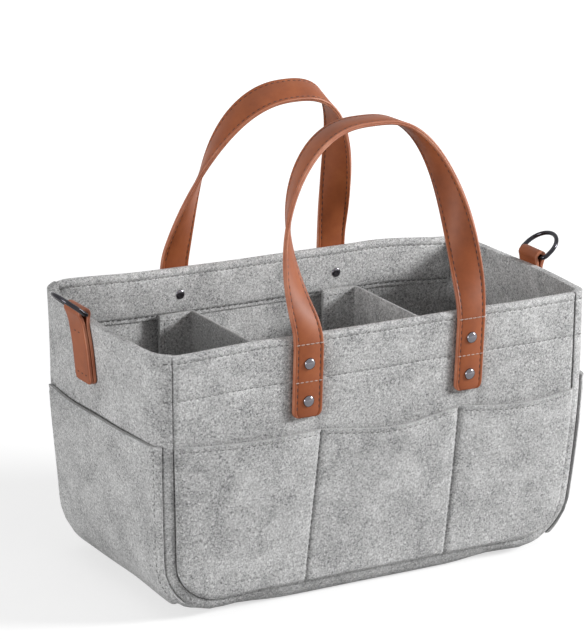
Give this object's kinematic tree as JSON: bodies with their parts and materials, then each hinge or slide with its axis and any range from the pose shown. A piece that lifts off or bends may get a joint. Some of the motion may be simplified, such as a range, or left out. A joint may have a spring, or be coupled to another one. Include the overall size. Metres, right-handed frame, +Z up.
{
  "type": "diaper caddy",
  "caption": "Open felt nursery caddy with twisted leather carrying handles, end D-rings, outer pockets and lift-out felt dividers on hook-and-loop tape.",
  "frame": {"origin": "middle of the flat underside, at the surface that the caddy stands on", "axes": "+X along the caddy towards its right end, +Y towards its back, +Z up; the front, with the handle nearer the viewer, faces -Y"},
  "size_m": [0.3716, 0.1842, 0.3049],
  "materials": {
    "felt": "thick pressed felt, mottled mid grey",
    "leather": "tan leather with dark painted and stitched edges",
    "gunmetal": "gunmetal plated, polished",
    "black_nickel": "black nickel plated steel wire, glossy",
    "tape": "grey hook-and-loop tape"
  },
  "bodies": {
    "caddy_body": {"gusset_strip": "felt", "front_panel": "felt", "back_panel": "felt", "front_pocket_panel": "felt", "back_pocket_panel": "felt", "left_end_pocket": "felt", "right_end_pocket": "felt", "front_left_strap_end": "leather", "front_right_strap_end": "leather", "back_left_strap_end": "leather", "back_right_strap_end": "leather", "front_left_upper_rivet": "gunmetal", "front_left_lower_rivet": "gunmetal", "front_right_upper_rivet": "gunmetal", "front_right_lower_rivet": "gunmetal", "back_left_upper_rivet": "gunmetal", "back_left_lower_rivet": "gunmetal", "back_right_upper_rivet": "gunmetal", "back_right_lower_rivet": "gunmetal", "left_end_tab": "leather", "right_end_tab": "leather", "front_left_loop_strip": "tape", "front_right_loop_strip": "tape", "back_left_loop_strip": "tape", "back_right_loop_strip": "tape", "end_loop_strip": "tape"},
    "front_handle": {"front_handle": "leather"},
    "back_handle": {"back_handle": "leather"},
    "left_ring": {"left_d_ring": "black_nickel"},
    "right_ring": {"right_d_ring": "black_nickel"},
    "left_divider": {"left_divider": "felt", "front_left_hook_pad": "tape", "back_left_hook_pad": "tape"},
    "right_divider": {"right_divider": "felt", "front_right_hook_pad": "tape", "back_right_hook_pad": "tape", "divider_loop_strip": "tape"},
    "long_divider": {"long_divider": "felt", "end_hook_pad": "tape", "divider_hook_pad": "tape"}
  },
  "joints": [
    {"name": "front_handle_fold", "type": "hinge", "parent": "caddy_body", "child": "front_handle", "pos_m": [0, -0.08405, 0.1818], "axis": [1, 0, 0], "range_deg": [-15, 112]},
    {"name": "back_handle_fold", "type": "hinge", "parent": "caddy_body", "child": "back_handle", "pos_m": [0, 0.08406, 0.1818], "axis": [-1, 0, 0], "range_deg": [-25, 102]},
    {"name": "left_ring_swing", "type": "hinge", "parent": "caddy_body", "child": "left_ring", "pos_m": [-0.1683, 0.011, 0.1856], "axis": [0, 1, 0], "range_deg": [-112, 144]},
    {"name": "right_ring_swing", "type": "hinge", "parent": "caddy_body", "child": "right_ring", "pos_m": [0.1683, -0.002, 0.1824], "axis": [0, -1, 0], "range_deg": [-112, 144]},
    {"name": "left_divider_lift", "type": "slide", "parent": "caddy_body", "child": "left_divider", "axis": [0, 0, 1], "range_m": [0, 0.03]},
    {"name": "right_divider_lift", "type": "slide", "parent": "caddy_body", "child": "right_divider", "axis": [0, 0, 1], "range_m": [0, 0.03]},
    {"name": "long_divider_lift", "type": "slide", "parent": "caddy_body", "child": "long_divider", "axis": [0, 0, 1], "range_m": [0, 0.03]}
  ]
}
